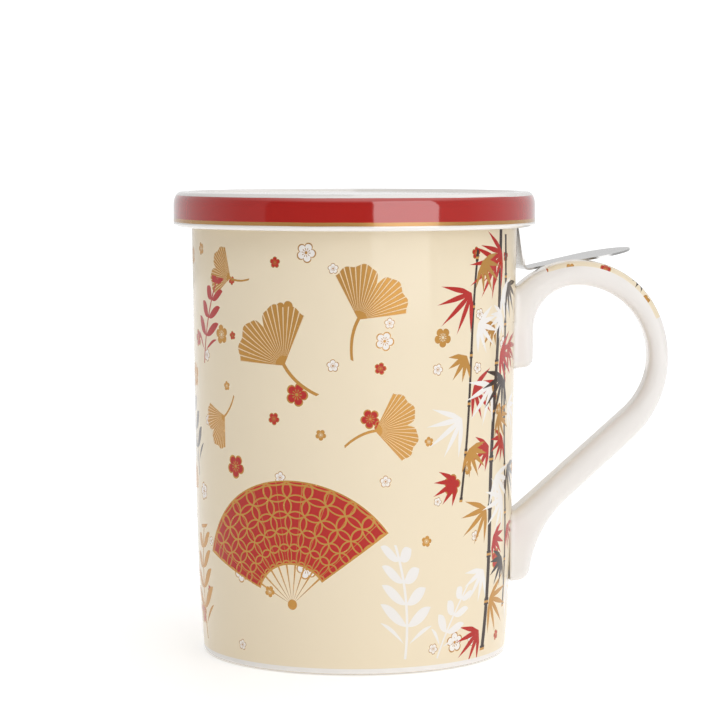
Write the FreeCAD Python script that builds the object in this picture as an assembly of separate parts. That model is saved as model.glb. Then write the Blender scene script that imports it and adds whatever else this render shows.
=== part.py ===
import FreeCAD
import Part
import math
import os

# Lidded tea mug with a lift-out steel infuser, in millimetres.
# The origin is on the mug's axis in the plane of its foot. +X points to the mug's handle,
# -Y to the front and +Z up. The mug and the lid are glazed porcelain, the infuser is sheet
# steel. The infuser hangs by its rim from the mug's rim, and the lid lies on the infuser's rim.

Vector = FreeCAD.Vector
Z_AXIS = Vector(0, 0, 1)
ORIGIN = Vector(0, 0, 0)

# Mug body: a gently barrelled lower wall that runs into a straight, slightly flared upper wall
mug_height = 108.5
rim_radius = 40.0
belly_inset = 0.95
belly_height = 36.5
wall_curve_radius = 550.0
wall_thickness = 3.0
rim_rounding = 1.1
floor_thickness = 3.6
floor_corner = 9.0
foot_rounding = 0.9
foot_ring_width = 3.8
foot_ring_height = 1.9
foot_ring_rounding = 0.8

# Mug handle: a strap that rises from a pad on the wall, rounds a C and runs down to a lower root
handle_crest_out = 15.2
handle_crest_drop = 12.4
crest_radius = 21.2
crest_sweep = 60.0
back_radius = 26.9
bow_crest_out = 14.6
strap_crest_thickness = 6.0
bow_radius = 17.8
fall_angle = 47.5
web_radius = 10.7
pad_bottom_drop = 38.7
pad_corner = 2.4
fall_length = 21.8
heel_radius = 28.8
heel_sweep = 40.0
heel_corner = 3.2
strap_root_width = 13.6
strap_back_width = 10.6
strap_outer_rounding = 1.5
strap_inner_rounding = 2.2

# Lid: a shallow upturned dish whose skirt reaches down over the mug's rim
lid_overhang = 4.4
lid_skirt_wall = 2.4
lid_skirt_drop = 4.5
lid_plate = 3.5
lid_well_depth = 0.5
lid_well_margin = 3.4
lid_well_slope = 0.8
lid_top_rounding = 1.2
lid_bottom_rounding = 0.9
lid_corner = 1.0

# Infuser rim: a flat ring on the mug's rim, with a collar drawn down into the mug
sheet = 0.5
collar_depth = 6.0
collar_bend = 0.8

# Infuser sleeve: a rolled sheet with rows of slots and a lapped seam
sleeve_gap = 5.8
sleeve_length = 70.0
weld_gap = 0.05
slot_width = 0.95
slot_height = 5.0
slot_rows = 7
slots_around = 36
slot_margin_top = 13.0
slot_margin_bottom = 6.5
seam_angle = 180.0
seam_width = 4.0
seam_proud = 0.35

# Infuser base: a pressed disc with an upturned edge inside the sleeve, and rings of slots
base_edge_height = 4.0
base_bend = 1.0
base_slot_width = 1.0
base_slot_length = 5.0
base_ring_pitch = 6.6
base_rings = 3
base_slot_spacing = 5.6

# Infuser handle: a bent strip from the rim ring, over the mug's rim and out past its handle
tab_turn = 14.0
tab_neck_width = 9.0
tab_paddle_radius = 9.0
tab_reach_out = 31.2
tab_bend = 0.8
tab_foot_bend = 1.3
tab_drop = 15.2
tab_rise_angle = 10.0
tab_wall_gap = 0.3
tab_foot_spread = 1.9

# Places that follow from the sizes above
belly_radius = rim_radius - belly_inset
inner_rim_radius = rim_radius - wall_thickness
handle_crest_x = rim_radius + handle_crest_out
handle_crest_z = mug_height - handle_crest_drop
bow_crest_x = rim_radius + bow_crest_out
bow_crest_z = handle_crest_z - strap_crest_thickness
pad_bottom_z = mug_height - pad_bottom_drop
lid_radius = rim_radius + lid_overhang
sleeve_radius = inner_rim_radius - sleeve_gap
tab_reach = rim_radius + tab_reach_out
tab_bottom_z = mug_height - tab_drop
ring_bottom = mug_height
ring_top = ring_bottom + sheet
ring_radius = rim_radius - rim_rounding
lid_bottom = ring_top - lid_skirt_drop
lid_top = ring_top + lid_plate + lid_well_depth
collar_inner = sleeve_radius + weld_gap
sleeve_top = ring_bottom - collar_bend
sleeve_bottom = sleeve_top - sleeve_length
tab_line = rim_radius + tab_wall_gap + sheet / 2


def polar(centre_x, centre_z, radius, degrees):
    """A point of the XZ plane on a circle."""
    angle = math.radians(degrees)
    return Vector(centre_x + radius * math.cos(angle), 0, centre_z + radius * math.sin(angle))


def arc(centre, radius, start, end):
    """A circular arc in the XZ plane, between two angles from +X towards +Z."""
    points = [polar(centre.x, centre.z, radius, a) for a in (start, (start + end) / 2, end)]
    return Part.Arc(*points).toShape()


def line(start, end):
    return Part.LineSegment(start, end).toShape()


def polygon(points):
    return Part.Wire([line(a, b) for a, b in zip(points, points[1:] + points[:1])])


def revolve(wire):
    return Part.Face(wire).revolve(ORIGIN, Z_AXIS, 360)


def cylinder(radius, bottom, top):
    return Part.makeCylinder(radius, top - bottom, Vector(0, 0, bottom), Z_AXIS)


def circle_edges(shape, radius, height):
    """The level circular edges of a shape that have this radius and height."""
    found = []
    for edge in shape.Edges:
        curve = edge.Curve
        if not isinstance(curve, Part.Circle):
            continue
        level = abs(curve.Center.z - height) < 1e-3 and abs(curve.Axis.z) > 0.999
        if level and abs(curve.Radius - radius) < 1e-3:
            found.append(edge)
    return found


def rounded(shape, size, places):
    """Rounds level circular edges, each given by its radius and height."""
    edges = [edge for place in places for edge in circle_edges(shape, *place)]
    return shape.makeFillet(size, edges)


def wall_solid(inset, bottom, top):
    """The solid within the mug's wall line, drawn in by the inset, between two heights."""
    slope = math.atan2(rim_radius - belly_radius, mug_height - belly_height)
    centre_x = belly_radius - inset - wall_curve_radius * math.cos(slope)
    centre_z = belly_height + wall_curve_radius * math.sin(slope)
    start = math.degrees(math.asin((bottom - centre_z) / wall_curve_radius))
    low = polar(centre_x, centre_z, wall_curve_radius, start)
    belly = Vector(belly_radius - inset, 0, belly_height)
    high = Vector(belly.x + (top - belly_height) * math.tan(slope), 0, top)
    curve = arc(Vector(centre_x, 0, centre_z), wall_curve_radius, start, -math.degrees(slope))
    edges = [
        line(Vector(0, 0, bottom), low),
        curve,
        line(belly, high),
        line(high, Vector(0, 0, top)),
        line(Vector(0, 0, top), Vector(0, 0, bottom)),
    ]
    return revolve(Part.Wire(edges)), low.x


def mug_body():
    outer, foot_radius = wall_solid(0.0, 0.0, mug_height)
    outer = rounded(outer, foot_rounding, [(foot_radius, 0.0)])
    floor = foot_ring_height + floor_thickness
    hollow, floor_radius = wall_solid(wall_thickness, floor, mug_height)
    hollow = rounded(hollow, floor_corner, [(floor_radius, floor)])
    recess_radius = foot_radius - foot_ring_width
    recess = cylinder(recess_radius, 0.0, foot_ring_height)
    body = outer.cut(hollow).cut(recess)
    rims = [(rim_radius, mug_height), (inner_rim_radius, mug_height)]
    body = rounded(body, rim_rounding, rims)
    return rounded(body, foot_ring_rounding, [(recess_radius, 0.0)])


def handle_outline():
    """The handle seen from the front: its back line outwards, then its bow line back."""
    inside = rim_radius - wall_thickness / 2
    crest = Vector(handle_crest_x, 0, handle_crest_z - crest_radius)
    first = 90 + math.degrees(math.asin((handle_crest_x - inside) / crest_radius))
    turn = 90 - crest_sweep
    shoulder = polar(crest.x, crest.z, crest_radius - back_radius, turn)
    fall_start = polar(shoulder.x, shoulder.z, back_radius, -fall_angle)
    fall_way = polar(0, 0, 1, -90 - fall_angle)
    fall_end = fall_start + fall_way * fall_length
    heel = fall_end + polar(0, 0, heel_radius, -fall_angle)
    heel_turn = 180 - fall_angle
    heel_stop = heel_turn + heel_sweep
    corner = polar(heel.x, heel.z, heel_radius + heel_corner, heel_stop)
    toe_z = corner.z - heel_corner
    toe = Vector(inside, 0, toe_z)
    bow = Vector(bow_crest_x, 0, bow_crest_z - bow_radius)
    bow_end = polar(bow.x, bow.z, bow_radius, -fall_angle)
    reach = (bow_end.x - inside) / math.sin(math.radians(fall_angle))
    bow_root = bow_end + fall_way * reach
    web = Vector(bow_crest_x, 0, bow_crest_z - web_radius)
    pad_x = web.x - web_radius
    pad = Vector(pad_x - pad_corner, 0, pad_bottom_z + pad_corner)
    top = polar(crest.x, crest.z, crest_radius, first)
    back = [
        arc(crest, crest_radius, first, turn),
        arc(shoulder, back_radius, turn, -fall_angle),
        line(fall_start, fall_end),
        arc(heel, heel_radius, heel_turn, heel_stop),
        arc(corner, heel_corner, heel_stop - 180, -90),
        line(Vector(corner.x, 0, toe_z), toe),
    ]
    bow_line = [
        line(bow_root, bow_end),
        arc(bow, bow_radius, -fall_angle, 90),
        arc(web, web_radius, 90, 180),
        line(Vector(pad_x, 0, web.z), Vector(pad_x, 0, pad.z)),
        arc(pad, pad_corner, 0, -90),
        line(Vector(pad.x, 0, pad_bottom_z), Vector(inside, 0, pad_bottom_z)),
    ]
    closing = [line(toe, bow_root), line(Vector(inside, 0, pad_bottom_z), top)]
    return back, bow_line, closing


def handle_reach():
    """How far the handle's back stands from the mug's axis."""
    shift = crest_radius - back_radius
    return handle_crest_x + shift * math.cos(math.radians(90 - crest_sweep)) + back_radius


def strap_plan():
    """The handle seen from above: wide at the wall, narrower at the back."""
    start = rim_radius - 2 * wall_thickness
    end = handle_reach() + wall_thickness
    root = strap_root_width / 2
    taper = (root - strap_back_width / 2) / (handle_reach() - rim_radius)
    near = root + taper * (rim_radius - start)
    far = root - taper * (end - rim_radius)
    corners = [
        Vector(start, -near, 0),
        Vector(start, near, 0),
        Vector(end, far, 0),
        Vector(end, -far, 0),
    ]
    return Part.Face(polygon(corners))


def side_edges(shape, outline):
    """The edges along both sides of the handle that lie on this part of its outline."""
    found = []
    for edge in shape.Edges:
        sides = [vertex.Point.y for vertex in edge.Vertexes]
        if min(abs(side) for side in sides) < strap_back_width / 4 or sides[0] * sides[-1] < 0:
            continue
        middle = edge.valueAt((edge.FirstParameter + edge.LastParameter) / 2)
        flat = Part.Vertex(middle.x, 0, middle.z)
        if min(flat.distToShape(part)[0] for part in outline) < 1e-3:
            found.append(edge)
    return found


def mug_handle():
    back, bow_line, closing = handle_outline()
    outline = Part.Face(Part.Wire(Part.__sortEdges__(back + bow_line + closing)))
    strap = outline.extrude(Vector(0, 2 * strap_root_width, 0))
    strap.translate(Vector(0, -strap_root_width, 0))
    strap = strap.common(strap_plan().extrude(Vector(0, 0, mug_height)))
    strap = strap.makeFillet(strap_inner_rounding, side_edges(strap, bow_line))
    strap = strap.makeFillet(strap_outer_rounding, side_edges(strap, back))
    return strap.cut(wall_solid(0.0, 0.0, mug_height)[0])


def lid():
    skirt_inner = lid_radius - lid_skirt_wall
    dish = cylinder(lid_radius, lid_bottom, lid_top)
    dish = dish.cut(cylinder(skirt_inner, lid_bottom, ring_top))
    well_radius = lid_radius - lid_well_margin
    floor = lid_top - lid_well_depth
    slope = Vector(0, 0, floor)
    well = Part.makeCone(well_radius - lid_well_slope, well_radius, lid_well_depth, slope)
    dish = dish.cut(well)
    dish = rounded(dish, lid_top_rounding, [(lid_radius, lid_top)])
    dish = rounded(dish, lid_corner, [(skirt_inner, ring_top)])
    return rounded(dish, lid_bottom_rounding, [(lid_radius, lid_bottom), (skirt_inner, lid_bottom)])


def infuser_rim():
    outer = collar_inner + sheet
    bottom = ring_bottom - collar_bend - collar_depth
    bend_outer = collar_bend + sheet
    centre = Vector(outer + collar_bend, 0, ring_bottom - collar_bend)
    edges = [
        line(Vector(ring_radius, 0, ring_bottom), Vector(ring_radius, 0, ring_top)),
        line(Vector(ring_radius, 0, ring_top), Vector(centre.x, 0, ring_top)),
        arc(centre, bend_outer, 90, 180),
        line(Vector(collar_inner, 0, centre.z), Vector(collar_inner, 0, bottom)),
        line(Vector(collar_inner, 0, bottom), Vector(outer, 0, bottom)),
        line(Vector(outer, 0, bottom), Vector(outer, 0, centre.z)),
        arc(centre, collar_bend, 180, 90),
        line(Vector(centre.x, 0, ring_bottom), Vector(ring_radius, 0, ring_bottom)),
    ]
    return revolve(Part.Wire(edges))


def slot_cutter(width, length, depth, reach, height):
    """A bar that cuts one slot: it points along +X and starts at this reach."""
    corner = Vector(reach, -width / 2, height - length / 2)
    return Part.makeBox(depth, width, length, corner)


def infuser_sleeve():
    inner = sleeve_radius - sheet
    sleeve = cylinder(sleeve_radius, sleeve_bottom, sleeve_top)
    seam = seam_wedge(sleeve_bottom, sleeve_top - collar_depth - 2 * seam_proud)
    sleeve = sleeve.fuse(seam).cut(cylinder(inner, sleeve_bottom, sleeve_top))
    first = sleeve_bottom + slot_margin_bottom + slot_height / 2
    last = sleeve_top - slot_margin_top - slot_height / 2
    cutters = []
    step = 360.0 / slots_around
    for row in range(slot_rows):
        height = first + (last - first) * row / (slot_rows - 1)
        shift = 0.5 * (row % 2)
        for place in range(slots_around):
            angle = (place + shift) * step
            if abs(angle - seam_angle) < step:
                continue
            bar = slot_cutter(slot_width, slot_height, 4 * sheet, inner - sheet, height)
            bar.rotate(ORIGIN, Z_AXIS, angle)
            cutters.append(bar)
    return sleeve.cut(Part.makeCompound(cutters))


def seam_wedge(bottom, top):
    """The lap of the rolled sheet: a narrow strip that stands proud of the sleeve."""
    half = math.degrees(seam_width / 2 / sleeve_radius)
    reach = sleeve_radius + seam_proud
    strip = Part.makeCylinder(reach, top - bottom, Vector(0, 0, bottom), Z_AXIS, 2 * half)
    strip.rotate(ORIGIN, Z_AXIS, seam_angle - half)
    return strip


def infuser_base():
    wall = sleeve_radius - sheet - weld_gap
    cup = cylinder(wall, sleeve_bottom, sleeve_bottom + base_edge_height)
    cup = rounded(cup, base_bend + sheet, [(wall, sleeve_bottom)])
    inside = wall - sheet
    hollow = cylinder(inside, sleeve_bottom + sheet, sleeve_bottom + base_edge_height)
    hollow = rounded(hollow, base_bend, [(inside, sleeve_bottom + sheet)])
    cup = cup.cut(hollow)
    cutters = []
    for ring in range(base_rings):
        reach = (ring + 1) * base_ring_pitch
        count = int(2 * math.pi * (reach + base_slot_length / 2) / base_slot_spacing)
        for place in range(count):
            corner = Vector(reach, -base_slot_width / 2, sleeve_bottom - sheet)
            bar = Part.makeBox(base_slot_length, base_slot_width, 3 * sheet, corner)
            bar.rotate(ORIGIN, Z_AXIS, 360.0 * place / count)
            cutters.append(bar)
    return cup.cut(Part.makeCompound(cutters))


def tab_side():
    """The bent strip seen from its side, as a band of sheet thickness in the XZ plane."""
    level = (ring_bottom + ring_top) / 2
    drop_centre = Vector(tab_line - tab_bend, 0, level - tab_bend)
    foot_x = tab_line + tab_foot_spread
    foot_z = tab_bottom_z + sheet / 2 + tab_foot_bend
    lean = math.degrees(math.atan2(tab_foot_spread, drop_centre.z - foot_z))
    foot_centre = Vector(foot_x + tab_foot_bend * math.cos(math.radians(lean)), 0, foot_z)
    rise = math.radians(tab_rise_angle)
    halves = []
    for side in (sheet / 2, -sheet / 2):
        drop_radius = tab_bend + side
        foot_radius = tab_foot_bend - side
        drop_end = polar(drop_centre.x, drop_centre.z, drop_radius, lean)
        foot_start = polar(foot_centre.x, foot_centre.z, foot_radius, 180 + lean)
        foot_end = polar(foot_centre.x, foot_centre.z, foot_radius, 270 + tab_rise_angle)
        run = (tab_reach - foot_end.x) / math.cos(rise)
        tip = foot_end + Vector(math.cos(rise), 0, math.sin(rise)) * run
        start = Vector(ring_radius, 0, level + side)
        edges = [
            line(start, Vector(drop_centre.x, 0, level + side)),
            arc(drop_centre, drop_radius, 90, lean),
            line(drop_end, foot_start),
            arc(foot_centre, foot_radius, 180 + lean, 270 + tab_rise_angle),
            line(foot_end, tip),
        ]
        halves.append((edges, start, tip))
    upper, lower = halves
    ends = [line(upper[1], lower[1]), line(upper[2], lower[2])]
    return Part.Face(Part.Wire(Part.__sortEdges__(upper[0] + lower[0] + ends)))


def tab_plan():
    """The strip seen from above: a neck that widens into a round paddle."""
    half = tab_neck_width / 2
    centre = tab_reach - tab_paddle_radius
    neck_end = tab_line + tab_foot_spread + 2 * tab_foot_bend
    start = ring_radius - sheet
    angle = 115.0
    shoulder = Vector(
        centre + tab_paddle_radius * math.cos(math.radians(angle)),
        tab_paddle_radius * math.sin(math.radians(angle)),
        0,
    )
    mirrored = Vector(shoulder.x, -shoulder.y, 0)
    tip = Vector(tab_reach, 0, 0)
    edges = [
        line(Vector(start, -half, 0), Vector(start, half, 0)),
        line(Vector(start, half, 0), Vector(neck_end, half, 0)),
        line(Vector(neck_end, half, 0), shoulder),
        Part.Arc(shoulder, tip, mirrored).toShape(),
        line(mirrored, Vector(neck_end, -half, 0)),
        line(Vector(neck_end, -half, 0), Vector(start, -half, 0)),
    ]
    return Part.Face(Part.Wire(edges))


def infuser_handle():
    side = tab_side()
    width = 4 * tab_paddle_radius
    band = side.extrude(Vector(0, width, 0))
    band.translate(Vector(0, -width / 2, 0))
    plan = tab_plan().extrude(Vector(0, 0, mug_height))
    plan.translate(Vector(0, 0, sheet))
    strip = band.common(plan)
    strip = strip.cut(cylinder(ring_radius, ring_bottom - sheet, ring_top + sheet))
    strip.rotate(ORIGIN, Z_AXIS, tab_turn)
    return strip


def build():
    os.makedirs("parts", exist_ok=True)
    parts = {
        "mug_body": mug_body(),
        "mug_handle": mug_handle(),
        "lid": lid(),
        "infuser_rim": infuser_rim(),
        "infuser_sleeve": infuser_sleeve(),
        "infuser_base": infuser_base(),
        "infuser_handle": infuser_handle(),
    }
    for name, shape in parts.items():
        solids = shape.Solids
        print(name, "solids", len(solids), "valid", shape.isValid(), "volume", round(shape.Volume, 1))
        shape.exportStep("parts/" + name + ".step")


build()
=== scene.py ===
import math

import bpy
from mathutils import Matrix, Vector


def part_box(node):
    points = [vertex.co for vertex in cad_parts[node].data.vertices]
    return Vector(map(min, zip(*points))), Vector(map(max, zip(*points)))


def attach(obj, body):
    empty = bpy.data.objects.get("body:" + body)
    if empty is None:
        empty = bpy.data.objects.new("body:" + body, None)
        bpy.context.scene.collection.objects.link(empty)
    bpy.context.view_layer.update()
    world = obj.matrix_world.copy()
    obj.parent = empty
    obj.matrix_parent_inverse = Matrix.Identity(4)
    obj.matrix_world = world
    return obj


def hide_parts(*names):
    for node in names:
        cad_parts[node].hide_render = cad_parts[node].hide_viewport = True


bl_info = {
    "name": "Lidded Tea Mug Finish",
    "version": (1, 0, 0),
    "blender": (4, 5, 0),
    "location": "3D View > Sidebar > Tea Mug",
    "description": "Glazes, print and steel finishes for a lidded tea mug with an infuser",
    "category": "Object",
}

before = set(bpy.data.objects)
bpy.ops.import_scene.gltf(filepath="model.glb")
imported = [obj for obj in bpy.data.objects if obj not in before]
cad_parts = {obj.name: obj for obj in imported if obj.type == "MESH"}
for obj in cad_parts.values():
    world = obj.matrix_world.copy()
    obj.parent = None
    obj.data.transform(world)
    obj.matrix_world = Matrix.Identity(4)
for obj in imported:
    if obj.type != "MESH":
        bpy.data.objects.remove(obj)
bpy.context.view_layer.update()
MM = 0.001
WELD_GAP = 0.002
SHARP_ANGLE = math.radians(40)
MUG_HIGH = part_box("mug_body")[1]
LID_LOW, LID_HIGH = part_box("lid")
RIM_RADIUS = MUG_HIGH[0] / MM
MUG_HEIGHT = MUG_HIGH[2] / MM
LID_RADIUS = LID_HIGH[1] / MM
LID_BASE = LID_LOW[2] / MM
LID_TOP = LID_HIGH[2] / MM

# The mug's wall, in millimetres: straight above the belly, and curved in below it.
BELLY_INSET = 0.95
BELLY_HEIGHT = 36.5
WALL_SLOPE = 0.0132
WALL_CURVE_RADIUS = 550

# The middle of the wall, which parts the print from the bare inside.
MIDDLE_LEAN = 0.02
MIDDLE_DEPTH = 3.4
# Below this height the glaze is a darker grey: partly the real unglazed foot, partly painted
# contact shade.
BARE_FOOT_AND_CONTACT_SHADE = 0.3

# The handle's outer outline, in millimetres: an arc over its crest, then a wider one at its back.
CREST_OUT = 15.2
CREST_DROP = 12.4
CREST_RADIUS = 21.2
HANDLE_CREST = (RIM_RADIUS + CREST_OUT, MUG_HEIGHT - CREST_DROP - CREST_RADIUS)
BACK_RADIUS = 26.9
BACK_TURN = math.radians(30)
BACK_SHIFT = tuple(
    (CREST_RADIUS - BACK_RADIUS) * part for part in (math.cos(BACK_TURN), math.sin(BACK_TURN))
)
STRIP_DEPTH = 1.25
STRIP_FROM, STRIP_TO = 0.36, 1.98
STRIP_HALF_WIDTH = 6.3
STEM_END = 32.0
HANDLE_SPRAYS = (((11.0, 1.0), 60.0), ((18.0, -1.5), 240.0), ((25.0, 2.5), 110.0))

# The handle's casting, in millimetres: its root stays sharp, and slip fills in round it.
HANDLE_CELL = 0.42
SOFTENING_ROUNDS = 26
FIXED_DEPTH, FREE_RANGE = 0.4, 2.5
SLIP_REACH, SLIP_HEIGHT = 1.3, 0.6

# The lid, in millimetres. The depths are from its radius inwards, or from its top down.
LID_STEPS = 256
PLATE_DEPTH = 4.0
SKIRT_THICKNESS = 2.4
CORNER = 1.0
SKIRT_EDGE = 0.9
SHOULDER_WIDTH, SHOULDER_HEIGHT = 1.8, 3.2
LIP_IN, LIP_OUT = 4.4, 3.2
LIP_HEIGHT = 0.25
WELL_FLOOR_IN = 9.0
BAND_DEPTH = 0.9
LINE_WOBBLE = 0.25
WELL_IN, WELL_DEPTH = 4.1, 1.2
WELL_LINE_IN, WELL_LINE_OUT = 4.9, 4.5
LID_LEAVES = (((-9.0, -4.0), 125.0, 14.0), ((9.0, 4.0), 25.0, 11.0), ((2.0, -20.0), 260.0, 9.0))

# The studio. Azimuths are in degrees, from the camera's side towards the handle's.
DIM_FROM, DIM_TO = -57, 12
SIDE_EDGE, BACK_AZIMUTH = 75, 180
ROOM_LIGHT, DIM_LIGHT, LEFT_LIGHT, RIGHT_LIGHT, TOP_LIGHT = 0.85, 0.09, 0.22, 0.23, 1.15
TOP_FADE = 0.5
TOP_FADE_FROM, TOP_FADE_TO = -20, -70
TOP_FROM, TOP_TO = 0.45, 0.7
SEEN_LIGHT = 1.2
SOFTBOX_POWER = 4.9
SOFTBOX_AZIMUTH, SOFTBOX_DISTANCE, SOFTBOX_WIDTH = 32.5, 1.0, 0.75
SOFTBOX_LOW, SOFTBOX_HIGH = -0.45, 0.8
FLOOR_GLOW = 0.35
FLOOR_RADIUS = 1.6
FLOOR_DROP = 0.0002
CAMERA_ASIDE = 0.0014
CAMERA_TILT = math.radians(90 - 4.68)
CAMERA_LENS = 130.5


def srgb(red, green, blue):
    """A display colour, 0 to 255, as the linear colour that the shaders take."""
    parts = [channel / 255 for channel in (red, green, blue)]
    return tuple(c / 12.92 if c <= 0.04045 else ((c + 0.055) / 1.055) ** 2.4 for c in parts)


def colour_setting(name, text, value):
    """A colour that a user may change."""
    return bpy.props.FloatVectorProperty(
        name=name, description=text, default=value, size=3, min=0, max=1, subtype="COLOR"
    )


def length_setting(name, text, value):
    """A length in metres that a user may change."""
    return bpy.props.FloatProperty(
        name=name, description=text, default=value, min=0, unit="LENGTH", subtype="DISTANCE"
    )


class TeaMugColours(bpy.types.PropertyGroup):
    """Colours of the glazes, the print and the steel."""

    cream: colour_setting("Cream ground", "Ground colour of the print", srgb(238, 223, 195))
    white: colour_setting("White glaze", "Bare white glaze", srgb(239, 235, 231))
    red: colour_setting("Print red", "Red of the band and the motifs", srgb(181, 30, 22))
    gold: colour_setting("Print gold", "Gold of the lines and the motifs", srgb(196, 144, 72))
    ink: colour_setting("Dark ink", "Dark brown of the stems", srgb(58, 44, 40))
    steel: colour_setting("Steel", "Colour of the polished sheet", srgb(206, 205, 204))
    # The bottom edge's grey: partly the unglazed foot's own colour, partly painted contact shade.
    clay: colour_setting("Bare foot and contact shade", "Unglazed edge that it stands on", srgb(214, 205, 190))
    floor: colour_setting("Floor", "Colour of the floor", srgb(250, 250, 250))


class TeaMugSizes(bpy.types.PropertyGroup):
    """Sizes of the printed bands and of the camera's place."""

    foot_margin: length_setting("Foot margin", "Bare band above the foot", 1.5 * MM)
    rim_margin: length_setting("Rim margin", "Bare band below the mug's rim", 1.6 * MM)
    lid_margin: length_setting("Lid margin", "White edge under the lid's gold line", 1.15 * MM)
    gold_line: length_setting("Gold line", "Width of the lid's gold line", 0.9 * MM)
    lid_edge: length_setting("Lid top edge", "White edge above the lid's red band", 0.85 * MM)
    camera_distance: length_setting("Camera distance", "From the mug's axis", 0.643)
    camera_height: length_setting("Camera height", "Above the floor", 0.124)


class Term:
    """A shader socket that takes part in Python expressions."""

    def __init__(self, sheet, socket):
        self.sheet = sheet
        self.socket = socket

    def __add__(self, other):
        return self.sheet.math("ADD", self, other)

    __radd__ = __add__

    def __sub__(self, other):
        return self.sheet.math("SUBTRACT", self, other)

    def __rsub__(self, other):
        return self.sheet.math("SUBTRACT", other, self)

    def __mul__(self, other):
        return self.sheet.math("MULTIPLY", self, other)

    __rmul__ = __mul__

    def __truediv__(self, other):
        return self.sheet.math("DIVIDE", self, other)

    def __rtruediv__(self, other):
        return self.sheet.math("DIVIDE", other, self)

    def __lt__(self, other):
        return self.sheet.math("LESS_THAN", self, other)

    def __gt__(self, other):
        return self.sheet.math("GREATER_THAN", self, other)

    def __or__(self, other):
        return self.sheet.math("MAXIMUM", self, other)

    def __and__(self, other):
        return self.sheet.math("MINIMUM", self, other)

    def __invert__(self):
        return 1 - self

    def __abs__(self):
        return self.sheet.math("ABSOLUTE", self)

    def __mod__(self, other):
        return self.sheet.math("FLOORED_MODULO", self, other)


class Sheet:
    """A node tree that is filled by expressions."""

    def __init__(self, tree):
        self.tree = tree
        tree.nodes.clear()

    def outputs(self, kind, settings, values):
        """Adds a node: its settings first, then the values or links of its sockets."""
        made = self.tree.nodes.new(kind)
        for name, value in settings.items():
            setattr(made, name, value)
        named = {socket.identifier: socket for socket in made.inputs}
        for name, value in values.items():
            socket = named[name] if isinstance(name, str) else made.inputs[name]
            if isinstance(value, Term):
                self.tree.links.new(value.socket, socket)
            else:
                socket.default_value = value
        return [Term(self, socket) for socket in made.outputs]

    def node(self, kind, settings, values, output=0):
        """The same, giving one output alone."""
        return self.outputs(kind, settings, values)[output]

    def math(self, operation, *values):
        """A number from a Math node."""
        numbered = dict(enumerate(values))
        return self.node("ShaderNodeMath", {"operation": operation}, numbered)

    def vector(self, operation, values):
        """A vector from a Vector Math node."""
        return self.node("ShaderNodeVectorMath", {"operation": operation}, values)

    def mix(self, factor, low, high):
        """A colour between two colours."""
        values = {"Factor_Float": factor, "A_Color": opaque(low), "B_Color": opaque(high)}
        return self.node("ShaderNodeMix", {"data_type": "RGBA"}, values, output=2)

    def noise(self, scale, detail, stretch=(1, 1, 1)):
        """Fractal noise of the object's own place, from 0 to 1."""
        place = self.node("ShaderNodeTexCoord", {}, {}, output=3)
        spread = self.node("ShaderNodeMapping", {}, {"Vector": place, "Scale": stretch})
        values = {"Vector": spread, "Scale": scale, "Detail": detail}
        return self.node("ShaderNodeTexNoise", {}, values)

    def place(self):
        """The object's own coordinates in millimetres."""
        place = self.node("ShaderNodeTexCoord", {}, {}, output=3)
        large = self.vector("SCALE", {0: place, "Scale": 1 / MM})
        return self.outputs("ShaderNodeSeparateXYZ", {}, {0: large})

    def ramp(self, value, low, high):
        """From 0 at one value to 1 at another, and level beyond both."""
        return self.node("ShaderNodeMapRange", {}, {0: value, 1: low, 2: high})

    def bump(self, height, distance, strength):
        """A normal that a height tilts; the distance is in metres."""
        values = {"Height": height, "Distance": distance, "Strength": strength}
        return self.node("ShaderNodeBump", {}, values)


class Finish(Sheet):
    """The node tree of a new material."""

    def __init__(self, name):
        self.material = bpy.data.materials.new(name)
        self.material.use_nodes = True
        super().__init__(self.material.node_tree)

    def surface(self, **values):
        """The surface itself; each keyword is a socket of the shader with _ for a space."""
        sockets = {name.replace("_", " "): value for name, value in values.items()}
        shader = self.node("ShaderNodeBsdfPrincipled", {}, sockets)
        self.outputs("ShaderNodeOutputMaterial", {}, {"Surface": shader})
        return self.material


def motif(inputs, outputs):
    """Makes a drawing function a group of nodes that is filled once and used often."""

    def fill(draw):
        tree = bpy.data.node_groups.new(draw.__name__.replace("_", " "), "ShaderNodeTree")
        for names, way in ((inputs, "INPUT"), (outputs, "OUTPUT")):
            for name in names.split():
                tree.interface.new_socket(name=name, in_out=way, socket_type="NodeSocketFloat")
        sheet = Sheet(tree)
        given = sheet.outputs("NodeGroupInput", {}, {})
        drawn = draw(*given[: len(inputs.split())])
        sheet.outputs("NodeGroupOutput", {}, dict(enumerate(drawn)))
        return tree

    def wrap(draw):
        filled = []

        def stamp(*values):
            if not filled:
                filled.append(fill(draw))
            values_by_place = dict(enumerate(values))
            settings = {"node_tree": filled[0]}
            found = values[0].sheet.outputs("ShaderNodeGroup", settings, values_by_place)
            return found if len(found) > 1 else found[0]

        return stamp

    return wrap


def opaque(colour):
    """A colour with the alpha that a socket takes."""
    return colour if isinstance(colour, Term) else (*colour, 1.0)


def hypot(a, b):
    """The length of the slanted side over two sides."""
    square = a.sheet.math("MULTIPLY", a, a)
    return a.sheet.math("SQRT", a.sheet.math("MULTIPLY_ADD", b, b, square))


def turned(u, v, across, up, degrees):
    """Coordinates along and across a motif that stands at a place and is turned."""
    sheet = u.sheet
    right, rise = u - across, v - up
    turn = degrees * math.radians(1)
    c, s = sheet.math("COSINE", turn), sheet.math("SINE", turn)
    return right * c + rise * s, rise * c - right * s


def between(value, low, high):
    """One where a value lies between two numbers."""
    return (value > low) & (value < high)


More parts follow.
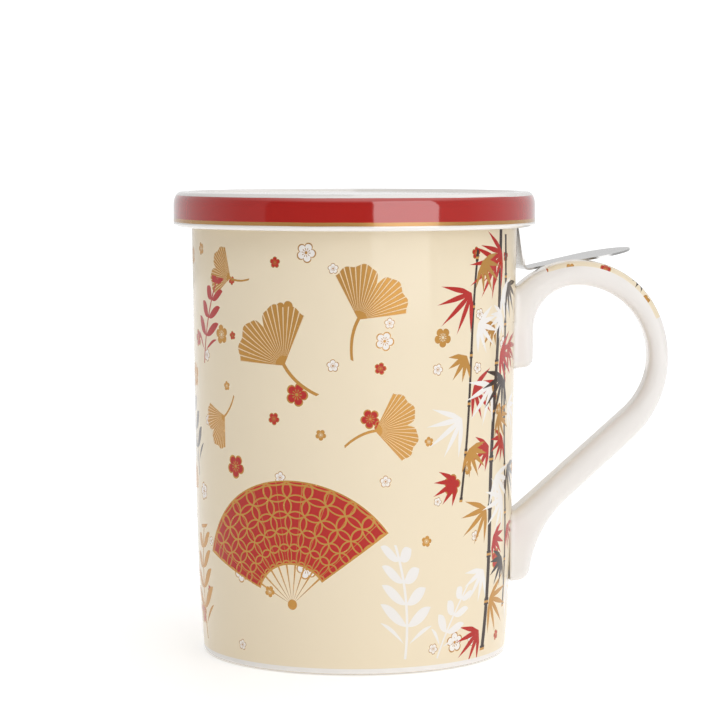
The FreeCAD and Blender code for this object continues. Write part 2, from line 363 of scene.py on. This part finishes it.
@motif("u v across up degrees count step length width", "leaves")
def leaf_spray(u, v, across, up, degrees, count, step, length, width):
    """Lance-shaped leaves that spread from one point like fingers."""
    sheet = u.sheet
    along, side = turned(u, v, across, up, degrees)
    reach = hypot(along, side)
    angle = sheet.math("ARCTAN2", side, along)
    apart = step * math.radians(1)
    turns = angle / apart + (count % 2) * 0.5
    finger = sheet.math("FRACT", turns) - 0.5
    nearest = abs(sheet.math("FLOOR", turns) + 0.5 - (count % 2) * 0.5)
    own_length = length * (1 - 0.1 * nearest)
    aside = abs(finger * apart) * reach
    share = reach / own_length
    taper = share * ((1 - share) | 0.0) * (1.45 - share) * width * 2.6
    inside = abs(angle) < apart * count * 0.5
    return [(aside < taper) & inside]


@motif("u v across up degrees size", "leaf veins")
def ginkgo_leaf(u, v, across, up, degrees, size):
    """A fan-shaped leaf with a notch and a stem: its mask, and its fine veins."""
    sheet = u.sheet
    along, side = turned(u, v, across, up, degrees)
    reach = hypot(along, side)
    angle = sheet.math("ARCTAN2", side, along)
    notch = 0.3 / (1 + 220 * angle * angle)
    ripple = sheet.math("COSINE", angle * 17.0) * 0.025 - angle * angle * 0.1
    blade = (reach < (1 + ripple - notch) * size) & (abs(angle) < 0.98)
    stem_bend = abs(side + along * along * 0.5 / size)
    stem = (stem_bend < 0.03 * size) & between(along, -0.7 * size, 0.05 * size)
    vein = sheet.math("COSINE", angle * 58.0) > 0.8
    return [blade | stem, vein & (reach > 0.16 * size) & blade]


@motif("u v across up degrees pitch length slant", "sprig")
def leafy_sprig(u, v, across, up, degrees, pitch, length, slant):
    """A slender bowed stem with pairs of leaves that grow shorter towards its tip."""
    sheet = u.sheet
    along, side = turned(u, v, across, up, degrees)
    bowed = side - along * along * slant
    off = abs(bowed)
    share = along / length
    leaf_length = (0.34 - 0.2 * share) * length
    row = (along - off * 0.75) / pitch
    step = abs(sheet.math("FRACT", row) - 0.5) * pitch
    part = off / leaf_length
    leaves = (step < part * (1 - part) * pitch * 1.25) & (row > 0.6)
    stem = off < 0.012 * length
    return [(leaves | stem) & between(share, 0.0, 1.0)]


@motif("a b spacing line", "lattice")
def circle_lattice(a, b, spacing, line):
    """Lines of circles that overlap by a quarter, a traditional lattice."""
    half = spacing * 0.5
    near_a = abs((a % spacing) - half)
    near_b = abs((b % spacing) - half)
    radius = spacing * math.sqrt(0.5)
    first = abs(hypot(near_a + half, half - near_b) - radius)
    second = abs(hypot(half - near_a, near_b + half) - radius)
    return [(first & second) < line]


# The circles' spacing and the lines' half width in a lattice, in millimetres.
FAN_LATTICE = (3.9, 0.17)
ROUNDEL_LATTICE = (4.4, 0.19)
FOLDS = 13.0


@motif("u v across up degrees inner outer spread", "cloth lines ribs")
def folding_fan(u, v, across, up, degrees, inner, outer, spread):
    """An open fan: the mask of its leaf, its gold lattice and edges, and its ribs."""
    sheet = u.sheet
    along, side = turned(u, v, across, up, degrees)
    reach = hypot(along, side)
    angle = sheet.math("ARCTAN2", side, along)
    half_angle = spread * math.radians(1)
    open_part = abs(angle) < half_angle
    cloth = between(reach, inner, outer) & open_part
    lattice = circle_lattice(angle * (inner + outer) * 0.5, reach, *FAN_LATTICE)
    rim = outer - reach
    edges = between(rim, 0.0, 0.35) | between(rim, 0.8, 1.1) | (reach < inner + 0.5)
    sides = (half_angle - abs(angle)) * reach < 0.4
    wave = abs(sheet.math("SINE", angle * FOLDS))
    fold, rib = wave < 0.035, wave < 0.3
    rivet = reach < inner * 0.13
    ribs = (rib & (reach < inner) & open_part) | rivet
    return [cloth, (lattice | edges | sides | fold) & cloth, ribs]


@motif("u v across up radius", "disc lines")
def roundel(u, v, across, up, radius):
    """A disc filled with the circle lattice and edged with a line."""
    along, side = turned(u, v, across, up, u * 0 + 45)
    reach = hypot(along, side)
    disc = reach < radius
    lattice = circle_lattice(along, side, *ROUNDEL_LATTICE) & disc
    return [disc, lattice | between(reach, radius - 0.45, radius)]


JOINT_PITCH = 11.5


@motif("u v base low high slant width", "stem joints")
def bamboo_stem(u, v, base, low, high, slant, width):
    """A jointed upright stem and the rings at its joints."""
    sheet = u.sheet
    rise = v - low
    sway = sheet.math("SINE", v * 0.09 + base) * 0.55
    off = abs(u - base - rise * slant - sway)
    joint = sheet.math("FRACT", rise / JOINT_PITCH)
    swell = 1 + 0.35 * (between(joint, 0.0, 0.1) | (joint > 0.96))
    stem = (off < width * swell) & between(rise, 0.0, high - low)
    return [stem, stem & between(joint, 0.0, 0.05)]


SEED_SHIFT = (37.0, 19.0)


@motif("u v cell size seed side low high", "whole outline heart chance")
def scattered_blossoms(u, v, cell, size, seed, side, low, high):
    """Small five-petalled blossoms, one to a cell: petals, outlines, hearts and a chance."""
    sheet = u.sheet
    aside, above = seed * SEED_SHIFT[0], seed * SEED_SHIFT[1]
    spot = sheet.node("ShaderNodeCombineXYZ", {}, {0: u + aside, 1: v + above})
    kind = {"voronoi_dimensions": "2D", "feature": "F1"}
    values = {"Vector": spot, "Scale": 1 / cell, "Randomness": 0.62}
    found = sheet.outputs("ShaderNodeTexVoronoi", kind, values)
    local = sheet.vector("SUBTRACT", {0: spot, 1: found[2]})
    x, y = sheet.outputs("ShaderNodeSeparateXYZ", {}, {0: local})[:2]
    chance, grow, turn = sheet.outputs("ShaderNodeSeparateColor", {}, {0: found[1]})
    middle = sheet.outputs("ShaderNodeSeparateXYZ", {}, {0: found[2]})
    across, up = middle[0] - aside, middle[1] - above
    field = (abs(across) < side) & between(up, low, high)
    reach = hypot(x, y) / (0.66 + 0.34 * grow)
    angle = sheet.math("ARCTAN2", y, x) + turn * 6.0
    petal = abs(sheet.math("COSINE", angle * 2.5))
    edge = (0.6 + 0.4 * sheet.math("POWER", petal, 0.5)) * size
    whole = (reach < edge) & field
    outline = whole & (reach > edge - 0.13 * size)
    rays = (sheet.math("COSINE", angle * 10.0) > 0.5) & between(reach, 0.2 * size, 0.44 * size)
    heart = (reach < 0.15 * size) | rays
    return [whole, outline, heart & field, chance]


MOTTLE = 0.03
GLAZE_ROUGHNESS, GOLD_ROUGHNESS, GOLD_METAL = 0.07, 0.2, 0.5
PEEL_SCALE, WAVE_SCALE, WAVE_HEIGHT = 260.0, 42.0, 6.0
BODY_INDEX, HANDLE_INDEX, LID_INDEX = 1.42, 1.45, 1.8


def glaze(sheet, colour, gold, index, coat):
    """A glossy glaze over a printed colour; gold is where metal lies on the glaze."""
    orange_peel = sheet.noise(PEEL_SCALE, 1.0)
    waves = sheet.noise(WAVE_SCALE, 1.0) * WAVE_HEIGHT + orange_peel
    return sheet.surface(
        Base_Color=colour,
        Roughness=GLAZE_ROUGHNESS + gold * GOLD_ROUGHNESS + (orange_peel - 0.5) * 0.02,
        Metallic=gold * GOLD_METAL,
        IOR=index,
        Coat_Weight=coat,
        Coat_Roughness=0.03,
        Normal=sheet.bump(waves, 0.06 * MM, 0.3),
    )


SPRAY_COLOURS = ("red", "gold", "white", "ink")

# The print. Its places are in millimetres round the wall from the front, and up it.
# A stem of bamboo: its foot's place, its lowest and highest points, its slant and its width.
BAMBOO_STEMS = (
    (38.0, 3.0, 106.0, 0.05, 0.75),
    (49.5, 12.0, 103.0, -0.045, 0.55),
    (28.0, 40.0, 100.0, 0.09, 0.38),
    (82.0, 3.0, 78.0, 0.06, 0.5),
    (-86.0, 3.0, 88.0, -0.05, 0.5),
)
SPRAY_PITCH = 7.4

# Blossoms on the wall: the share of the cells that have one, the cell's size, the blossom's
# size and the seed. The handle's and the well's have the last three.
BLOSSOMS = ((0.72, 19.0, 3.1, 1.0), (0.6, 13.0, 1.6, 2.0))
HANDLE_BLOSSOMS = (5.4, 1.6, 3.0)
WELL_BLOSSOMS = (14.0, 3.0, 5.0)

# The field that they keep within: to both sides, then its lowest and highest points.
PRINT_FIELD = (121.0, 5.0, 102.0)
HANDLE_FIELD = (60.0, -60.0, 60.0)
WELL_FIELD = (27.0, -27.0, 27.0)

# A sprig: its colour, foot, turn, leaf pitch, length and bow.
SPRIGS = (
    ("white", (13.0, 3.5), 84.0, 5.2, 27.0, 0.008),
    ("white", (22.0, 3.0), 70.0, 4.4, 19.0, -0.008),
    ("gold", (-50.0, 4.0), 98.0, 5.0, 28.0, -0.007),
    ("ink", (-52.0, 44.0), 100.0, 4.6, 25.0, 0.01),
    ("red", (-46.0, 72.0), 82.0, 4.6, 22.0, -0.01),
    ("gold", (70.0, 3.0), 96.0, 5.2, 30.0, 0.006),
    ("white", (112.0, 4.0), 84.0, 5.2, 36.0, -0.004),
    ("red", (-106.0, 3.0), 95.0, 5.0, 28.0, 0.008),
)

# A leaf: its place, turn and size.
GINKGO_LEAVES = (
    ((-17.0, 73.0), 122.0, 14.5),
    ((1.0, 84.0), 62.0, 13.0),
    ((-33.0, 93.0), 160.0, 8.5),
    ((5.0, 58.0), 8.0, 11.0),
    ((-36.0, 60.0), 215.0, 8.5),
    ((-66.0, 72.0), 100.0, 12.0),
    ((-62.0, 40.0), 60.0, 9.0),
    ((110.0, 88.0), 110.0, 12.0),
    ((72.0, 60.0), 130.0, 9.0),
)

# A fan: its pivot, turn, inner and outer radius and half its spread. A roundel: centre, radius.
FANS = (((-15.5, 16.5), 98.0, 9.5, 29.5, 62.0), ((97.0, 46.0), 84.0, 9.0, 25.0, 60.0))
ROUNDELS = (((-108.0, 78.0), 14.0),)


def bamboo_sprays():
    """Leaves beside the bamboo's stems: colour, place, turn, count, step, length, width."""
    found = []
    for number, (base, low, high, slant, width) in enumerate(BAMBOO_STEMS):
        for row in range(int((high - low) / SPRAY_PITCH)):
            rise = (row + 0.7) * SPRAY_PITCH
            side = 1 if (row + number) % 2 else -1
            swing = 14 * math.sin(2.3 * row + number)
            place = (base + rise * slant + side * (width + 1.2), low + rise)
            turn = -90 + side * (52 + swing)
            size = 9.6 + 2.4 * math.sin(1.7 * row + 2 * number)
            name = SPRAY_COLOURS[(row + 2 * number + (row // 3)) % len(SPRAY_COLOURS)]
            found.append((name, place, turn, 5 + row % 2, 25.0, size, 0.98))
    return found


def print_on(sheet, u, v, ground, colours):
    """The whole printed picture on the wall: its colour, and where gold lies."""
    colour, gold, busy = ground, 0.0, 0.0
    for pivot, *measures in FANS:
        cloth, lines, ribs = folding_fan(u, v, *pivot, *measures)
        colour = sheet.mix(cloth, colour, colours.red)
        colour = sheet.mix(lines | ribs, colour, colours.gold)
        gold = lines | ribs | gold
        busy = cloth | ribs | busy
    for centre, radius in ROUNDELS:
        disc, lines = roundel(u, v, *centre, radius)
        colour = sheet.mix(disc, colour, colours.red)
        colour = sheet.mix(lines, colour, colours.gold)
        gold, busy = gold | lines, busy | disc
    for centre, *measures in GINKGO_LEAVES:
        leaf, veins = ginkgo_leaf(u, v, *centre, *measures)
        colour = sheet.mix(leaf, colour, colours.gold)
        colour = sheet.mix(veins * 0.75, colour, colours.cream)
        gold, busy = gold | (leaf & ~veins), busy | leaf
    for measures in BAMBOO_STEMS:
        stem, joints = bamboo_stem(u, v, *measures)
        colour = sheet.mix(stem, colour, colours.ink)
        colour = sheet.mix(joints, colour, colours.gold)
        busy = busy | stem
    masks = dict.fromkeys(SPRAY_COLOURS, 0.0)
    for name, centre, *measures in bamboo_sprays():
        masks[name] = leaf_spray(u, v, *centre, *measures) | masks[name]
    for name, centre, *measures in SPRIGS:
        masks[name] = leafy_sprig(u, v, *centre, *measures) | masks[name]
    for name, mask in masks.items():
        colour = sheet.mix(mask, colour, getattr(colours, name))
        gold = gold | mask if name == "gold" else gold & ~mask
        busy = busy | mask
    for share, *measures in BLOSSOMS:
        whole, outline, heart, chance = scattered_blossoms(u, v, *measures, *PRINT_FIELD)
        shown = whole & ~busy & (chance < share)
        colour = sheet.mix(shown, colour, colours.white)
        colour = sheet.mix(shown & (chance < share * 0.66), colour, colours.red)
        golden = shown & (chance < share * 0.33)
        colour = sheet.mix(golden, colour, colours.gold)
        lines = shown & (outline | heart)
        colour = sheet.mix(lines, colour, colours.gold)
        colour = sheet.mix(golden & heart, colour, colours.cream)
        gold = gold | lines | golden
    return colour, gold


def wall_middle(z):
    """A radius that lies inside the wall's thickness at every height."""
    return z * MIDDLE_LEAN + (RIM_RADIUS - MIDDLE_DEPTH)


def body_glaze(colours, sizes):
    """The mug's glaze: a printed cream ground outside, bare white inside and at the foot, and a
    darker grey bottom edge that is partly the unglazed foot and partly painted contact shade.
    """
    sheet = Finish("mug body glaze")
    x, y, z = sheet.place()
    reach = hypot(x, y)
    u = sheet.math("ARCTAN2", x, -1 * y) * RIM_RADIUS
    outside = reach > wall_middle(z)
    margin = between(z, sizes.foot_margin / MM, MUG_HEIGHT - sizes.rim_margin / MM)
    picture, gold = print_on(sheet, u, z, colours.cream, colours)
    printed = outside & margin
    mottle = (1 - MOTTLE / 2) + MOTTLE * sheet.noise(30.0, 2.0)
    colour = sheet.mix(printed, colours.white, picture)
    # Painted contact shade: the bottom edge turns a darker grey, partly the unglazed foot and
    # partly shade where it stands.
    colour = sheet.mix(z < BARE_FOOT_AND_CONTACT_SHADE, colour, colours.clay)
    toned = sheet.vector("SCALE", {0: colour, "Scale": mottle})
    return glaze(sheet, toned, gold & printed, BODY_INDEX, 0.0)


def handle_glaze(colours):
    """White glaze with a printed strip along the upper part of the handle's back."""
    sheet = Finish("mug handle glaze")
    x, y, z = sheet.place()
    along, up = x - HANDLE_CREST[0], z - HANDLE_CREST[1]
    angle = sheet.math("ARCTAN2", up, along)
    crest_depth = CREST_RADIUS - hypot(along, up)
    back_depth = BACK_RADIUS - hypot(along - BACK_SHIFT[0], up - BACK_SHIFT[1])
    past = angle < BACK_TURN
    depth = crest_depth * ~past + back_depth * past
    travel = angle * CREST_RADIUS
    strip = (depth < STRIP_DEPTH) & between(angle, STRIP_FROM, STRIP_TO)
    strip = strip & (abs(y) < STRIP_HALF_WIDTH)
    flowers = scattered_blossoms(travel, y, *HANDLE_BLOSSOMS, *HANDLE_FIELD)
    whole, outline, heart, chance = flowers
    picture = sheet.mix(whole & (chance < 0.8), colours.cream, colours.red)
    picture = sheet.mix(whole & (chance < 0.45), picture, colours.gold)
    stem = abs(y - sheet.math("SINE", travel * 0.3) * 3.4) < 0.3
    picture = sheet.mix(stem & (travel < STEM_END), picture, colours.ink)
    for centre, turn in HANDLE_SPRAYS:
        spray = leaf_spray(travel, y, *centre, turn, 5.0, 24.0, 4.6, 1.0)
        picture = sheet.mix(spray, picture, colours.ink)
    lines = (outline | heart) & (chance < 0.8)
    picture = sheet.mix(lines, picture, colours.gold)
    colour = sheet.mix(strip, colours.white, picture)
    return glaze(sheet, colour, lines & strip, HANDLE_INDEX, 0.0)


def lid_glaze(colours, sizes):
    """The lid: a red side band with a gold line, white edges and a printed cream well."""
    sheet = Finish("lid glaze")
    x, y, z = sheet.place()
    reach = hypot(x, y)
    side = reach > LID_RADIUS - BAND_DEPTH
    line_low = LID_BASE + sizes.lid_margin / MM
    line_high = line_low + sizes.gold_line / MM
    band_high = LID_TOP - sizes.lid_edge / MM
    shaky = (sheet.noise(70.0, 1.0) - 0.5) * LINE_WOBBLE
    band = side & between(z + shaky, line_high, band_high)
    line = side & between(z + shaky, line_low, line_high)
    well = (reach < LID_RADIUS - WELL_IN) & (z > LID_TOP - WELL_DEPTH)
    flowers = scattered_blossoms(x, y, *WELL_BLOSSOMS, *WELL_FIELD)
    whole, outline, heart, chance = flowers
    shown = whole & (chance < 0.75)
    picture = sheet.mix(shown, colours.cream, colours.white)
    picture = sheet.mix(shown & (chance < 0.5), picture, colours.red)
    golden = shown & (chance < 0.25)
    picture = sheet.mix(golden, picture, colours.gold)
    lines = shown & (outline | heart)
    for centre, *measures in LID_LEAVES:
        leaf, veins = ginkgo_leaf(x, y, *centre, *measures)
        lines = (lines & ~leaf) | (leaf & ~veins)
        picture = sheet.mix(leaf, picture, colours.cream)
    lines = lines | between(reach, LID_RADIUS - WELL_LINE_IN, LID_RADIUS - WELL_LINE_OUT)
    picture = sheet.mix(lines, picture, colours.gold)
    colour = sheet.mix(well, colours.white, picture)
    colour = sheet.mix(band, colour, colours.red)
    colour = sheet.mix(line, colour, colours.gold)
    return glaze(sheet, colour, line | ((lines | golden) & well), LID_INDEX, 1.0)


LINE_SCALE, SMEAR_SCALE = 900.0, 60.0


def sheet_steel(name, colours, stretch, roughness):
    """Polished sheet with fine drawn lines in one direction and faint smears."""
    sheet = Finish(name)
    lines = sheet.noise(LINE_SCALE, 3.0, stretch)
    smears = sheet.noise(SMEAR_SCALE, 2.0)
    dark = tuple(channel * 0.8 for channel in colours.steel)
    colour = sheet.mix(lines * 0.5 + smears * 0.2, colours.steel, dark)
    return sheet.surface(
        Base_Color=colour,
        Metallic=1.0,
        Roughness=roughness + lines * 0.1 + smears * 0.06,
        Normal=sheet.bump(lines, 0.04 * MM, 0.4),
    )


def empty_piece(name):
    """A new piece that is one point at the origin, open in edit mode."""
    bpy.ops.object.select_all(action="DESELECT")
    bpy.ops.mesh.primitive_plane_add(size=MM)
    piece = bpy.context.object
    piece.name = piece.data.name = name
    bpy.ops.object.mode_set(mode="EDIT")
    bpy.ops.mesh.select_all(action="SELECT")
    bpy.ops.mesh.merge(type="CENTER")
    return piece


def bend(centre, radii, start, stop, steps=7):
    """Points in the plane of the axis along a round or oval corner."""
    turns = [math.radians(start + (stop - start) * i / steps) for i in range(steps + 1)]
    return [
        (centre[0] + radii[0] * math.cos(turn), centre[1] + radii[1] * math.sin(turn))
        for turn in turns
    ]


def spun(name, outline, steps):
    """A piece turned about the upright axis from its outline, given in millimetres."""
    piece = empty_piece(name)
    spot = (0.0, 0.0)
    for radius, height in outline:
        shift = ((radius - spot[0]) * MM, 0.0, (height - spot[1]) * MM)
        if spot == (0.0, 0.0):
            bpy.ops.transform.translate(value=shift)
        else:
            bpy.ops.mesh.extrude_region_move(TRANSFORM_OT_translate={"value": shift})
        spot = (radius, height)
    bpy.ops.mesh.select_all(action="SELECT")
    bpy.ops.mesh.spin(steps=steps, angle=2 * math.pi, center=(0, 0, 0), axis=(0, 0, 1))
    bpy.ops.mesh.select_all(action="SELECT")
    bpy.ops.mesh.remove_doubles(threshold=WELD_GAP * MM)
    bpy.ops.mesh.normals_make_consistent(inside=False)
    bpy.ops.object.mode_set(mode="OBJECT")
    bpy.ops.object.shade_smooth_by_angle(angle=SHARP_ANGLE)
    even = piece.modifiers.new("even", "WEIGHTED_NORMAL")
    even.keep_sharp = True
    bpy.ops.object.modifier_apply(modifier=even.name)
    return piece


def lid_outline():
    """Half of the lid's section, from the middle of its underside round to its well."""
    under, inner = LID_TOP - PLATE_DEPTH, LID_RADIUS - SKIRT_THICKNESS
    outer = LID_RADIUS
    edge, edge_height = SKIRT_EDGE, LID_BASE + SKIRT_EDGE
    lip = LID_TOP - LIP_HEIGHT
    shoulder = (SHOULDER_WIDTH, SHOULDER_HEIGHT)
    outline = [(0.0, under)]
    outline += bend((inner - CORNER, under - CORNER), (CORNER, CORNER), 90, 0)
    outline += bend((inner + edge, edge_height), (edge, edge), 180, 270)
    outline += bend((outer - edge, edge_height), (edge, edge), 270, 360)
    outline += bend((outer - SHOULDER_WIDTH, LID_TOP - SHOULDER_HEIGHT), shoulder, 0, 90, 10)
    outline += bend((outer - LIP_OUT, lip), (0.4, LIP_HEIGHT), 90, 135, 3)
    outline += bend((outer - LIP_IN, lip), (0.5, LIP_HEIGHT), 315, 270, 3)
    outline += [(outer - WELL_FLOOR_IN, lip - LIP_HEIGHT), (0.0, lip - LIP_HEIGHT)]
    return outline


def wall_radius(height):
    """The radius of the wall's outside at a height, in millimetres."""
    below = max(BELLY_HEIGHT - height, 0.0)
    curve = below**2 / (2 * WALL_CURVE_RADIUS)
    return RIM_RADIUS - BELLY_INSET - curve + WALL_SLOPE * (height - BELLY_HEIGHT)


def cast_handle():
    """The handle as it leaves the mould: soft edges, and slip smoothed in at its roots."""
    bpy.ops.object.select_all(action="DESELECT")
    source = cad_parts["mug_handle"]
    piece = bpy.data.objects.new("cast_handle", source.data.copy())
    bpy.context.collection.objects.link(piece)
    bpy.context.view_layer.objects.active = piece
    piece.select_set(True)
    bpy.ops.object.mode_set(mode="EDIT")
    bpy.ops.mesh.select_all(action="SELECT")
    bpy.ops.mesh.remove_doubles(threshold=WELD_GAP * MM)
    bpy.ops.object.mode_set(mode="OBJECT")
    cells = piece.modifiers.new("cells", "REMESH")
    cells.mode, cells.voxel_size = "VOXEL", HANDLE_CELL * MM
    bpy.ops.object.modifier_apply(modifier=cells.name)
    free = piece.vertex_groups.new(name="free")
    mesh = piece.data
    for point in mesh.vertices:
        out = math.hypot(point.co.x, point.co.y) / MM - RIM_RADIUS
        weight = min(max((out + FIXED_DEPTH) / FREE_RANGE, 0.0), 1.0)
        free.add([point.index], weight, "REPLACE")
    soft = piece.modifiers.new("soft", "SMOOTH")
    soft.factor, soft.iterations, soft.vertex_group = 0.5, SOFTENING_ROUNDS, free.name
    bpy.ops.object.modifier_apply(modifier=soft.name)
    for point in mesh.vertices:
        off_wall = math.hypot(point.co.x, point.co.y) / MM - wall_radius(point.co.z / MM)
        near = 1 - off_wall / SLIP_REACH
        if near > 0:
            point.co += point.normal * min(near, 1.0) ** 2 * SLIP_HEIGHT * MM
    bpy.ops.object.shade_smooth()
    return piece


def dress(node, material):
    """Gives a CAD node this material in its own slots."""
    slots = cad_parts[node].material_slots
    if not slots:
        raise RuntimeError("the node has no material slot: " + node)
    for slot in slots:
        slot.material = material


def stand_for(piece, node, body, material):
    """Lets a piece stand for a CAD node, on its body and with its finish."""
    piece.data.materials.clear()
    piece.data.materials.append(material)
    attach(piece, body)
    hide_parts(node)


def settings():
    """The colours and sizes that the scene holds."""
    return bpy.context.scene.tea_mug_colours, bpy.context.scene.tea_mug_sizes


class TEAMUG_OT_body(bpy.types.Operator):
    """Glaze and print the mug's body"""

    bl_idname = "teamug.body"
    bl_label = "Glaze Mug Body"

    def execute(self, context):
        dress("mug_body", body_glaze(*settings()))
        return {"FINISHED"}


class TEAMUG_OT_handle(bpy.types.Operator):
    """Glaze the mug's handle and print its strip"""

    bl_idname = "teamug.handle"
    bl_label = "Glaze Handle"

    def execute(self, context):
        glazed = handle_glaze(settings()[0])
        dress("mug_handle", glazed)
        piece = cast_handle()
        stand_for(piece, "mug_handle", "mug", glazed)
        return {"FINISHED"}


class TEAMUG_OT_lid(bpy.types.Operator):
    """Glaze the lid with its band, line and printed well"""

    bl_idname = "teamug.lid"
    bl_label = "Glaze Lid"

    def execute(self, context):
        glazed = lid_glaze(*settings())
        dress("lid", glazed)
        stand_for(spun("glazed_lid", lid_outline(), LID_STEPS), "lid", "lid", glazed)
        return {"FINISHED"}


class TEAMUG_OT_infuser(bpy.types.Operator):
    """Polish the infuser's sheet steel"""

    bl_idname = "teamug.infuser"
    bl_label = "Polish Infuser"

    def execute(self, context):
        colours = settings()[0]
        around = sheet_steel("drawn steel", colours, (0.08, 0.08, 3.0), 0.2)
        flat = sheet_steel("turned steel", colours, (1.0, 1.0, 0.2), 0.16)
        strip = sheet_steel("polished strip", colours, (0.06, 2.0, 1.0), 0.16)
        dress("infuser_sleeve", around)
        dress("infuser_rim", flat)
        dress("infuser_base", flat)
        dress("infuser_handle", strip)
        return {"FINISHED"}


def studio_world():
    """Soft surroundings: bright above and behind, dim behind the camera."""
    world = bpy.data.worlds.new("studio")
    world.use_nodes = True
    sheet = Sheet(world.node_tree)
    way = sheet.node("ShaderNodeTexCoord", {}, {})
    x, y, z = sheet.outputs("ShaderNodeSeparateXYZ", {}, {0: way})
    azimuth = sheet.math("ARCTAN2", x, -1 * y) / math.radians(1)
    to_left = sheet.ramp(azimuth, -SIDE_EDGE, -BACK_AZIMUTH)
    to_right = sheet.ramp(azimuth, SIDE_EDGE, BACK_AZIMUTH)
    left = LEFT_LIGHT + to_left * (ROOM_LIGHT - LEFT_LIGHT)
    right = RIGHT_LIGHT + to_right * (ROOM_LIGHT - RIGHT_LIGHT)
    light = left + sheet.ramp(azimuth, DIM_FROM - 1, DIM_FROM + 1) * (DIM_LIGHT - left)
    light = light + sheet.ramp(azimuth, DIM_TO - 0.7, DIM_TO + 0.7) * (right - DIM_LIGHT)
    top = TOP_LIGHT - sheet.ramp(azimuth, TOP_FADE_FROM, TOP_FADE_TO) * TOP_FADE
    light = light + sheet.ramp(z, TOP_FROM, TOP_TO) * (top - light)
    seen = sheet.node("ShaderNodeLightPath", {}, {})
    strength = light * (1 - seen) + seen * SEEN_LIGHT
    values = {"Color": opaque((1.0, 1.0, 1.0)), "Strength": strength}
    back = sheet.node("ShaderNodeBackground", {}, values)
    sheet.outputs("ShaderNodeOutputWorld", {}, {"Surface": back})
    bpy.context.scene.world = world


def softbox():
    """A large upright light that faces the mug from an angle round its axis."""
    turn = math.radians(SOFTBOX_AZIMUTH)
    aside, away = SOFTBOX_DISTANCE * math.sin(turn), SOFTBOX_DISTANCE * math.cos(turn)
    place = (aside, -away, (SOFTBOX_LOW + SOFTBOX_HIGH) / 2)
    bpy.ops.object.light_add(type="AREA", location=place, rotation=(math.pi / 2, 0, turn))
    light = bpy.context.object
    light.name = "right softbox"
    light.data.shape = "RECTANGLE"
    light.data.size = SOFTBOX_WIDTH
    light.data.size_y = SOFTBOX_HIGH - SOFTBOX_LOW
    light.data.energy = SOFTBOX_POWER


class TEAMUG_OT_stage(bpy.types.Operator):
    """Set the floor, the studio light and the camera"""

    bl_idname = "teamug.stage"
    bl_label = "Set Stage"

    def execute(self, context):
        colours, sizes = settings()
        bpy.ops.object.select_all(action="DESELECT")
        bpy.ops.mesh.primitive_circle_add(
            vertices=96, radius=FLOOR_RADIUS, fill_type="NGON", location=(0, 0, -FLOOR_DROP)
        )
        floor = bpy.context.object
        floor.name = "floor"
        sheet = Finish("pale floor")
        grain = sheet.noise(8.0, 2.0)
        tone = sheet.mix(grain * 0.1, colours.floor, colours.white)
        glow = {"Emission_Color": opaque(colours.floor), "Emission_Strength": FLOOR_GLOW}
        floor.data.materials.append(sheet.surface(Base_Color=tone, Roughness=0.6, **glow))
        softbox()
        studio_world()
        place = (CAMERA_ASIDE, -sizes.camera_distance, sizes.camera_height)
        bpy.ops.object.camera_add(location=place, rotation=(CAMERA_TILT, 0, 0))
        camera = bpy.context.object
        camera.data.lens = CAMERA_LENS
        camera.data.sensor_width = 36.0
        context.scene.camera = camera
        context.scene.view_settings.view_transform = "Standard"
        return {"FINISHED"}


class TEAMUG_PT_panel(bpy.types.Panel):
    """Lists the steps that finish the tea mug"""

    bl_idname = "TEAMUG_PT_panel"
    bl_label = "Tea Mug"
    bl_space_type = "VIEW_3D"
    bl_region_type = "UI"
    bl_category = "Tea Mug"

    def draw(self, context):
        for step in STEPS:
            self.layout.operator(step.bl_idname)


STEPS = (
    TEAMUG_OT_body,
    TEAMUG_OT_handle,
    TEAMUG_OT_lid,
    TEAMUG_OT_infuser,
    TEAMUG_OT_stage,
)
CLASSES = (TeaMugColours, TeaMugSizes, *STEPS, TEAMUG_PT_panel)


def register():
    for made in CLASSES:
        bpy.utils.register_class(made)
    scene = bpy.types.Scene
    scene.tea_mug_colours = bpy.props.PointerProperty(type=TeaMugColours)
    scene.tea_mug_sizes = bpy.props.PointerProperty(type=TeaMugSizes)


def unregister():
    del bpy.types.Scene.tea_mug_sizes
    del bpy.types.Scene.tea_mug_colours
    for made in reversed(CLASSES):
        bpy.utils.unregister_class(made)


def main():
    register()
    bpy.ops.teamug.body()
    bpy.ops.teamug.handle()
    bpy.ops.teamug.lid()
    bpy.ops.teamug.infuser()
    bpy.ops.teamug.stage()


if __name__ == "__main__":
    main()
